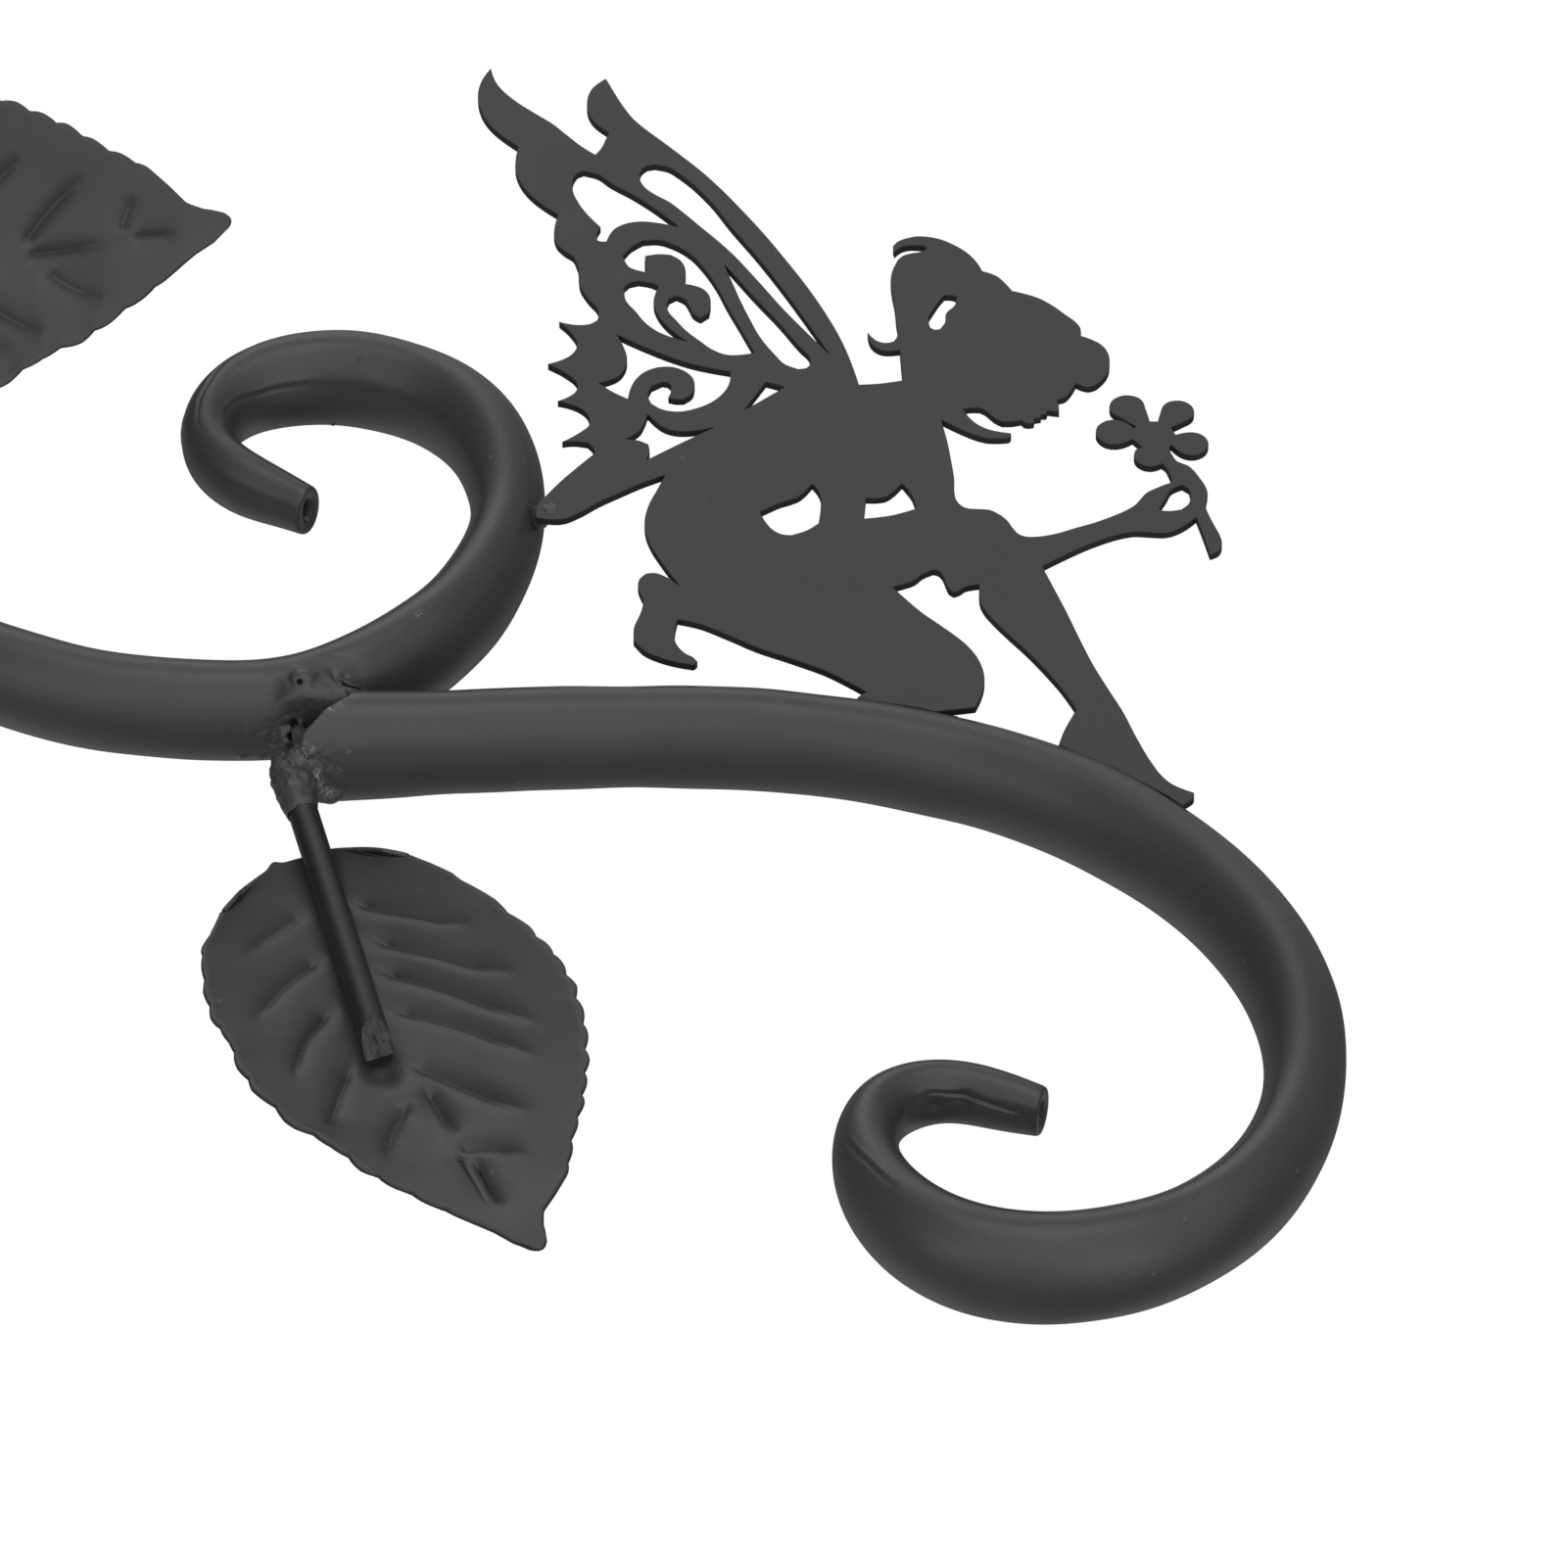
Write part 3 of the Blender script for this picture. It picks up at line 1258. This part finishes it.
@dataclass
class WeldMetal:
    """Weld metal: lumps run together under the coat, and with the tubes that they join."""

    name: str
    lumps: tuple
    tubes: tuple = ()
    grooves: tuple = ()
    wear: tuple = ()
    centre: tuple = (0.0, 0.0, 0.0)
    reach: float = 17.0
    fillet: float = 3.0
    lift: float = 0.10
    sink_from: float = 0.5
    sink_over: float = 0.45
    groove_blend: float = 0.5
    waves: tuple = (2.6, 1.1)
    step: float = 0.3
    slot: str = "tube_black"

    def lump_field(self, lump: Lump, places: np.ndarray) -> np.ndarray:
        """Rough distance from one lump's skin.

        Formula: with p turned into the lump's own axes, k = |p / radii| and g = |p / radii^2|,
        the distance is k * (k - 1) / g.

        Args:
            lump: the lump.
            places: places in millimetres, the last axis being X, Y, Z.

        Returns:
            One distance a place, below zero inside.
        """
        c, s = math.cos(math.radians(lump.turn)), math.sin(math.radians(lump.turn))
        own = (places - np.array(lump.centre)) @ np.array([[c, 0, -s], [0, 1, 0], [s, 0, c]])
        radii = np.array(lump.radii)
        ratio = np.linalg.norm(own / radii, axis=-1)
        slope = np.maximum(np.linalg.norm(own / radii ** 2, axis=-1), 1e-6)
        return -soft_min(places[..., 2] - lump.floor, -ratio * (ratio - 1) / slope, 1.0)

    def groove_field(self, groove: Groove, places: np.ndarray) -> np.ndarray:
        """Distance from a round rod laid along the groove's path.

        Args:
            groove: the groove.
            places: places in millimetres, the last axis being X, Y, Z.

        Returns:
            One distance a place, below zero inside the rod.
        """
        field = np.full(places.shape[:-1], 99.0)
        path = np.array(groove.path)
        for start, end in zip(path[:-1], path[1:]):
            way = end - start
            part = np.clip(((places - start) @ way) / (way @ way), 0, 1)
            away = np.linalg.norm(places - start - part[..., None] * way, axis=-1)
            field = np.minimum(field, away - groove.radius)
        return field

    def field(self, x: np.ndarray, y: np.ndarray, z: np.ndarray) -> np.ndarray:
        """Distance field of the whole weld on a grid.

        Formula: the tubes' own fields run together by a wide soft minimum, lifted a little
        above their skins in the middle and sunk below them towards the edge of the reach, then
        the lumps, and last the grooves cut away by a soft maximum.

        Args:
            x: the grid's places along X.
            y: the grid's places along Y.
            z: the grid's places along Z.

        Returns:
            The distances, by X, Y and Z.
        """
        places = np.stack(np.meshgrid(x, y, z, indexing="ij"), axis=-1)
        field = np.full(places.shape[:-1], 99.0)
        for tube in self.tubes:
            field = soft_min(field, tube.distance(x, y, z), self.fillet)
        if self.tubes:
            away = np.linalg.norm(places - np.array(self.centre), axis=-1)
            sink = np.clip((away / self.reach - self.sink_from) / self.sink_over, 0, 1)
            field = field - self.lift + 4 * self.lift * sink ** 2 * (3 - 2 * sink)
            field = np.maximum(field, away - self.reach)
        for lump in self.lumps:
            field = soft_min(field, self.lump_field(lump, places), lump.blend)
        for groove in self.grooves:
            field = -soft_min(-field, self.groove_field(groove, places), self.groove_blend)
        return field

    def make(self, coat: bpy.types.Material) -> bpy.types.Object:
        """Build and dress the weld.

        Formula: the skin of the field, moved along its normals by the nearest lump's roughness
        times a ripple.

        Args:
            coat: its material.

        Returns:
            The piece.
        """
        middles = np.array([self.centre] if self.tubes else [lump.centre for lump in self.lumps])
        margin = 1.0 + (self.reach if self.tubes else max(max(lump.radii) for lump in self.lumps))
        low, high = (middles - margin).min(0), (middles + margin).max(0)
        x, y, z = (np.arange(a, b, self.step) for a, b in zip(low, high))
        points, quads = field_skin(self.field(x, y, z), low, self.step)
        mesh = build_mesh(self.name, points, [quads])
        placed = mesh_points(mesh)
        nearness = np.stack([
            np.exp(-np.maximum(self.lump_field(lump, placed), 0.0)) for lump in self.lumps])
        rough = np.array([lump.rough for lump in self.lumps]) @ nearness
        rough = rough / np.maximum(nearness.sum(0), 1.0)
        coarse, fine = self.waves
        height = rough * (ripple(placed, coarse, 11) + 0.5 * ripple(placed, fine, 12))
        placed = placed + height[:, None] * mesh_normals(mesh)
        mesh.vertices.foreach_set("co", (placed * MM).ravel())
        mesh.update()
        paint_wear(mesh, self.wear)
        mesh.materials.append(coat)
        return show(self.name, mesh, self.slot)


@dataclass(frozen=True)
class SoftLight:
    """A soft panel of light far off, its turn to the right of the front, and how high it stands.

    Formula: brightness = strength * (direction . where it is seen) ^ power, and none behind.
    """

    name: str
    turn: float
    height: float
    power: float
    strength: float

    def direction(self) -> tuple[float, float, float]:
        """Where the panel is seen: (sin t cos h, -cos t cos h, sin h)."""
        turn, height = math.radians(self.turn), math.radians(self.height)
        level = math.cos(height)
        return (math.sin(turn) * level, -math.cos(turn) * level, math.sin(height))


@dataclass
class Studio:
    """Plain pale floor, soft light all round and the camera at the photograph's viewing angle."""

    aim: tuple = (0.215, 0.0, -0.060)
    distance: float = 1.6942
    elevation: float = 47.0
    lens: float = 240.0
    sensor_width: float = 36.0
    floor_height: float = -1.6
    floor_reach: float = 6.0
    floor_grey: float = 0.85
    floor_roughness: float = 0.9
    ambient: float = 0.06
    lights: tuple = (
        SoftLight("fill from the camera", 5, -50, 2, 0.95),
        SoftLight("front strip", 0, 5, 12, 1.20),
        SoftLight("low left panel", -80, -45, 14, 0.55),
        SoftLight("low right panel", 90, -60, 14, 0.70),
        SoftLight("rim from behind right", 150, 10, 14, 0.40),
        SoftLight("rim from behind left", -150, 0, 5, 0.40),
        SoftLight("high front panel", -20, 55, 14, 1.00),
        SoftLight("fill from the right", 45, -5, 2, 0.20),
        SoftLight("overhead panel", 20, 80, 5, 0.40))

    def camera(self) -> None:
        """Camera below the bracket, looking up at its show side."""
        angle = math.radians(self.elevation)
        data = bpy.data.cameras.new("camera")
        data.lens = self.lens
        data.sensor_width = self.sensor_width
        camera = bpy.data.objects.new("camera", data)
        camera.location = (
            self.aim[0], self.aim[1] - self.distance * math.cos(angle),
            self.aim[2] - self.distance * math.sin(angle))
        camera.rotation_euler = (math.radians(90.0 + self.elevation), 0.0, 0.0)
        bpy.context.scene.collection.objects.link(camera)
        bpy.context.scene.camera = camera

    def surroundings(self) -> None:
        """White to the camera, and the soft lights to the surfaces.

        Formula: the room's brightness in a direction is the ambient light plus every panel's.
        """
        world = bpy.data.worlds.new("room")
        bpy.context.scene.world = world
        world.use_nodes = True
        nodes, links = world.node_tree.nodes, world.node_tree.links
        nodes.clear()
        bench = NodeBench(world.node_tree)
        place = nodes.new("ShaderNodeTexCoord").outputs["Generated"]
        total = self.ambient
        for light in self.lights:
            facing = nodes.new("ShaderNodeVectorMath")
            facing.operation = "DOT_PRODUCT"
            facing.label = light.name
            facing.inputs[1].default_value = light.direction()
            links.new(place, facing.inputs[0])
            lit = bench.maths("MAXIMUM", facing.outputs["Value"], 0.0)
            lit = bench.maths("MULTIPLY", bench.maths("POWER", lit, light.power), light.strength)
            total = bench.maths("ADD", total, lit)
        room = nodes.new("ShaderNodeBackground")
        room.inputs["Color"].default_value = (1.0, 1.0, 1.0, 1.0)
        links.new(total, room.inputs["Strength"])
        white = nodes.new("ShaderNodeBackground")
        white.inputs["Color"].default_value = (1.0, 1.0, 1.0, 1.0)
        seen = nodes.new("ShaderNodeLightPath")
        mix = nodes.new("ShaderNodeMixShader")
        out = nodes.new("ShaderNodeOutputWorld")
        links.new(seen.outputs["Is Camera Ray"], mix.inputs[0])
        links.new(room.outputs[0], mix.inputs[1])
        links.new(white.outputs[0], mix.inputs[2])
        links.new(mix.outputs[0], out.inputs["Surface"])

    def floor(self) -> None:
        """Pale floor far below the bracket, which keeps no light from it."""
        reach, level = self.floor_reach, self.floor_height
        corners = [(x * reach, y * reach, level) for x, y in ((-1, -1), (1, -1), (1, 1), (-1, 1))]
        mesh = bpy.data.meshes.new("floor")
        mesh.from_pydata(corners, [], [(0, 1, 2, 3)])
        material = bpy.data.materials.new("pale floor")
        material.use_nodes = True
        shader = material.node_tree.nodes["Principled BSDF"]
        shader.inputs["Base Color"].default_value = (*[self.floor_grey] * 3, 1.0)
        shader.inputs["Roughness"].default_value = self.floor_roughness
        mesh.materials.append(material)
        floor = bpy.data.objects.new("floor", mesh)
        floor.visible_diffuse = False
        floor.visible_glossy = False
        floor.visible_shadow = False
        bpy.context.scene.collection.objects.link(floor)
        floor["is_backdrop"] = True

    def build(self) -> None:
        """Make camera, room and floor."""
        self.camera()
        self.surroundings()
        self.floor()
        bpy.context.scene.view_settings.view_transform = "Standard"


@dataclass
class Bracket:
    """The whole bracket: tubes, cut plates, leaves, rods and welds."""

    bead_lumps: int = 18

    def tubes(self, coat: bpy.types.Material) -> tuple[SteelTube, SteelTube]:
        """Build the arm and the hook tube.

        Args:
            coat: their material.

        Returns:
            The arm and the hook, for the weld that joins them.
        """
        arm = SteelTube(
            "arm", "arm_tube", ARM_LINE,
            creases=(
                Crease(((266, 331), (272, 330), (281, 326), (289, 308), (294, 296)), 0.30, -0.25),
                Crease(((266, 338), (272, 337), (281, 333), (289, 315), (294, 303)), 0.45, 0.28),
                Crease(((276, 236), (282, 244), (287, 253), (292, 249), (297, 244)), 0.5, 0.28),
                Crease(((284, 190), (290, 184), (296, 177), (302, 158), (307, 150)), 0.55, 0.25),
                Crease(((286, 196), (292, 190), (298, 182), (303, 166)), 0.5, -0.12),
            ),
            pits=(
                Pit(142.9, 36.5, 0.42, 0.45, -7.5), Pit(141.7, -43.6, 3.0, 1.6, -8.2),
                Pit(135.5, -46.8, 1.2, 2.0, -1.5), Pit(135.3, -46.9, 1.1, 1.8, 0.8),
                Pit(126.8, -47.8, 0.6, -0.5, 5.2), Pit(129.8, -47.5, 0.7, -0.45, 5.6),
                Pit(138.7, 36.2, 0.35, -0.5, 6.6), Pit(155.3, -29.6, 0.3, -0.12, -9.7),
                Pit(130.5, -48.6, 0.9, -0.35, -0.5), Pit(129.0, -47.9, 0.5, -0.3, -3.0),
                Pit(131.8, -47.0, 0.6, -0.35, -5.2), Pit(128.2, -47.0, 0.4, -0.2, -5.0),
            ),
            wear=(
                (155.3, -9.7, -29.6, 0.5, 0.8), (129.5, -2.0, -48.4, 2.0, 0.14),
                (131.5, -5.0, -47.0, 1.6, 0.12),
            ),
        )
        hook = SteelTube(
            "hook", "hook_tube", HOOK_LINE,
            start_cut=(
                (40, 8.0), (100, 7.5), (125, 6.0), (147, 4.0), (182, 2.1), (202, 0.6), (213, 0.0),
                (228, 0.4), (239, 1.8), (256, 4.0), (264, 5.6), (278, 8.0), (320, 8.5)),
            creases=(
                Crease(((329, 214), (332, 212), (340, 206), (348, 198)), 0.45, 0.45),
                Crease(((331, 206), (334, 204), (341, 198), (348, 190)), 0.6, -0.2),
                Crease(((295, 286), (299, 288), (303, 291), (309, 306), (313, 316)), 0.45, 0.24),
                Crease(((295, 279), (299, 281), (303, 284), (309, 299), (313, 309)), 0.5, -0.15),
            ),
            pits=(
                Pit(239.3, -132.9, 0.5, 0.5, -5.8), Pit(236.9, -135.1, 0.6, -0.35, -4.1),
                Pit(243.2, -135.2, 1.3, 0.7, -2.1), Pit(240.2, -134.8, 1.2, -0.45, -3.4),
                Pit(238.6, -135.6, 1.6, 0.4, -1.0), Pit(235.0, -136.4, 1.3, 0.3, -2.0),
                Pit(141.2, -58.0, 2.4, -0.25, -1.0), Pit(138.6, -57.2, 1.0, -0.3, -5.0),
            ),
            wear=(
                (136.9, -6.6, -56.3, 1.1, 0.9), (137.6, -5.0, -57.4, 1.0, 1.0),
                (136.4, -7.6, -55.2, 0.9, 0.6), (138.2, -2.0, -58.2, 0.8, 0.6),
                (139.2, 0.2, -58.3, 0.9, 1.0), (139.9, 2.2, -58.1, 0.95, 1.0),
                (140.5, 4.2, -57.6, 0.9, 0.9), (142.7, -1.5, -58.0, 3.0, 0.10),
                (141.5, -4.5, -57.5, 2.2, 0.12), (141.4, -9.5, -52.6, 0.8, 0.9),
                (143.0, -9.6, -51.5, 0.9, 0.4), (144.4, -9.5, -50.4, 1.0, 0.3),
            ),
        )
        arm.make(coat)
        hook.make(coat)
        return arm, hook

    def plates(self, coat: bpy.types.Material, edge_coat: bpy.types.Material) -> None:
        """Build the figure plate and the wall plate.

        Args:
            coat: material of their faces.
            edge_coat: material of the figure plate's cut edges.
        """
        figure = CutPlate("figure_plate", "fairy_plate", PlateSide.ALONG_Y, "plate_black")
        wall = CutPlate("wall_bar", "wall_plate", PlateSide.ALONG_X, "plate_black", edge_round=0.6)
        figure.make(coat, edge_coat)
        wall.make(coat, coat)

    def leaves(self, coat: bpy.types.Material, rod_coat: bpy.types.Material) -> None:
        """Build both leaves with their rods. Beyond its middle the upper leaf has its own veins.

        Args:
            coat: material of the leaves.
            rod_coat: material of the rods.
        """
        lower = PressedLeaf(
            "leaf_low", "lower_leaf",
            base=(138.2, 0.0, -83.0), axis=(0.417, 0.0, -0.909), across=(0.909, 0.0, 0.417))
        shared_veins = lower.veins[:4] + lower.veins[6:10]
        upper = PressedLeaf(
            "leaf_high", "upper_leaf",
            base=(26.2, 0.0, 68.8), axis=(0.991, 0.0, 0.136), across=(-0.096, -0.707, 0.70),
            veins=shared_veins + (
                ((49.0, 4.6), (54.5, 10.0), (59.6, 14.4), 0.45, 0.90),
                ((58.8, -1.0), (63.4, 4.5), (70.3, 9.8), 0.50, 0.95),
                ((75.9, -0.3), (76.7, 2.8), (78.8, 6.0), 0.35, 0.75),
                ((49.0, -7.5), (55.0, -13.0), (60.8, -16.0), 0.45, 0.80),
                ((62.3, -5.2), (66.1, -8.7), (71.5, -11.0), 0.40, 0.85),
                ((59.4, -1.9), (64.3, -2.2), (73.1, -1.5), 0.45, 0.85),
                ((77.5, -1.0), (81.2, -1.1), (85.1, -1.1), 0.35, 0.70)))
        lower.make(coat)
        upper.make(coat)
        LeafRod("rod_low", "lower_leaf_stem", lower, -22.5).make(rod_coat)
        LeafRod("rod_high", "upper_leaf_stem", upper, -22.4).make(rod_coat)

    def welds(self, coat: bpy.types.Material, tubes: tuple[SteelTube, SteelTube]) -> None:
        """Build the welds at the joint, the wing, the figure's knee and foot, and the wall plate.

        Args:
            coat: their material.
            tubes: the arm and the hook, which the joint's weld runs together with.
        """
        WeldMetal("joint_weld", (
            Lump((137.4, -4.4, -45.4), (6.0, 5.3, 5.4), 0, 1.6, 0.03, -48.4),
            Lump((142.6, -5.6, -45.8), (3.6, 2.9, 2.6), 20, 2.5, 0.03),
            Lump((136.9, -9.4, -44.7), (2.3, 1.3, 2.0), 0, 0.3, 0.02),
            Lump((134.2, 1.0, -48.6), (2.2, 3.0, 2.2), 0, 1.0, 0.16),
            Lump((134.7, 3.0, -49.2), (2.0, 2.4, 2.0), 0, 1.0, 0.16),
            Lump((136.9, -2.2, -54.6), (1.5, 2.2, 2.0), 0, 0.8, 0.16),
            Lump((135.6, 1.6, -53.8), (2.4, 2.2, 3.4), 0, 0.6, 0.14),
            Lump((138.6, -0.5, -53.5), (2.6, 5.0, 4.0), 0, 1.0, 0.10),
            Lump((135.8, -0.6, -60.8), (3.6, 3.4, 3.5), 0, 1.2, 0.10),
            Lump((133.6, -0.5, -58.4), (1.4, 1.6, 1.4), 0, 0.8, 0.10),
            Lump((138.4, -0.2, -58.4), (2.0, 2.6, 1.6), 0, 1.0, 0.12),
            Lump((138.9, 1.6, -60.0), (1.7, 2.4, 1.6), 0, 1.0, 0.10),
            Lump((136.6, -0.2, -64.8), (3.0, 2.9, 4.4), 14, 2.0, 0.05),
            Lump((141.0, 4.6, -57.8), (2.6, 1.7, 0.9), 0, 1.0, 0.06),
            Lump((136.2, -1.2, -56.8), (2.4, 2.8, 2.2), 0, 0.9, 0.16),
            Lump((136.0, -2.4, -50.6), (1.1, 1.5, 2.3), 0, 1.2, 0.10),
            Lump((133.5, -0.5, -57.0), (1.9, 2.2, 4.6), 0, 0.9, 0.12),
        ), tubes, centre=(139.0, -3.0, -50.0), grooves=(
            Groove(((135.3, -4.0, -49.8), (135.3, 1.0, -44.5)), 0.65),
            Groove(((135.0, -1.4, -50.4), (135.0, 3.0, -45.7)), 0.6),
            Groove(((136.3, -11.6, -47.9), (136.3, -8.8, -45.2)), 0.36),
            Groove(((139.4, -10.2, -44.6), (139.2, -10.0, -45.8), (138.6, -9.8, -46.6)), 0.32),
            Groove(((143.6, -10.5, -45.6), (143.6, -8.0, -42.9)), 0.42),
            Groove(((132.6, -2.6, -58.2), (134.5, -3.4, -59.1), (136.8, -3.6, -59.2)), 0.45),
            Groove((
                (141.6, -9.6, -42.5), (141.9, -9.1, -43.9), (142.6, -8.8, -45.0),
                (144.0, -8.0, -45.8), (146.7, -6.6, -45.4)), 0.42),
            Groove((
                (141.6, -9.0, -42.5), (141.9, -8.5, -43.7), (142.6, -8.2, -44.6),
                (144.0, -7.4, -45.2), (146.7, -6.0, -45.0)), 0.42),
        ), wear=(
            (138.8, -1.0, -59.6, 1.2, 0.9), (139.6, 0.6, -60.0, 1.2, 1.0),
            (140.4, 2.2, -59.4, 1.3, 1.0), (141.0, 3.6, -59.0, 1.1, 0.8),
            (136.6, -5.4, -57.0, 0.9, 0.8), (137.2, -4.2, -57.6, 0.8, 0.7),
            (141.2, -8.9, -52.4, 0.7, 0.9), (143.2, -9.0, -50.8, 0.9, 0.3),
            (137.6, -3.2, -55.4, 0.6, 0.5),
        )).make(coat)
        WeldMetal("wing_weld", (
            Lump((176.2, -7.0, -1.4), (2.2, 1.3, 2.5), 15),
            Lump((174.4, -5.5, -0.8), (1.8, 2.0, 2.2)),
        ), step=0.25).make(coat)
        WeldMetal("figure_weld", (
            Lump((231.0, -5.6, -48.0), (4.0, 1.3, 1.2), -5),
            Lump((240.0, -5.6, -50.2), (3.6, 1.3, 1.2), -12),
            Lump((268.0, -5.6, -64.6), (3.6, 1.3, 1.2), -32),
            Lump((274.0, -5.6, -69.0), (3.2, 1.3, 1.2), -38),
        )).make(coat)
        ring = np.linspace(0, 2 * math.pi, self.bead_lumps, endpoint=False)
        arm_bead = tuple(
            Lump((4.6, 10.2 * math.sin(a), -1.2 + 7.2 * math.cos(a)), (1.3, 1.9, 1.6))
            for a in ring)
        rod_bead = tuple(
            Lump((4.6, 2.9 * math.sin(a) + 0.4, 71.0 + 2.9 * math.cos(a)), (1.0, 1.2, 1.0))
            for a in ring[::2])
        WeldMetal("wall_weld", arm_bead).make(coat)
        WeldMetal("rod_weld", rod_bead, slot="leaf_black").make(coat)

    def build(self) -> None:
        """Make the materials and every piece."""
        tubes = self.tubes(TUBE_COAT.material())
        self.plates(PLATE_COAT.material(), EDGE_COAT.material())
        self.leaves(LEAF_COAT.material(), ROD_COAT.material())
        self.welds(WELD_COAT.material(), tubes)


def corners() -> list[list[float]]:
    """Lowest and highest corner of what is shown, as plain lists."""
    return [list(corner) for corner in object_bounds()]


def main() -> None:
    """Load the frame, build the bracket and the studio, and note the sizes."""
    logging.basicConfig(level=logging.INFO, format="%(message)s")
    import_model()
    Bracket().build()
    Studio().build()


if __name__ == "__main__":
    main()
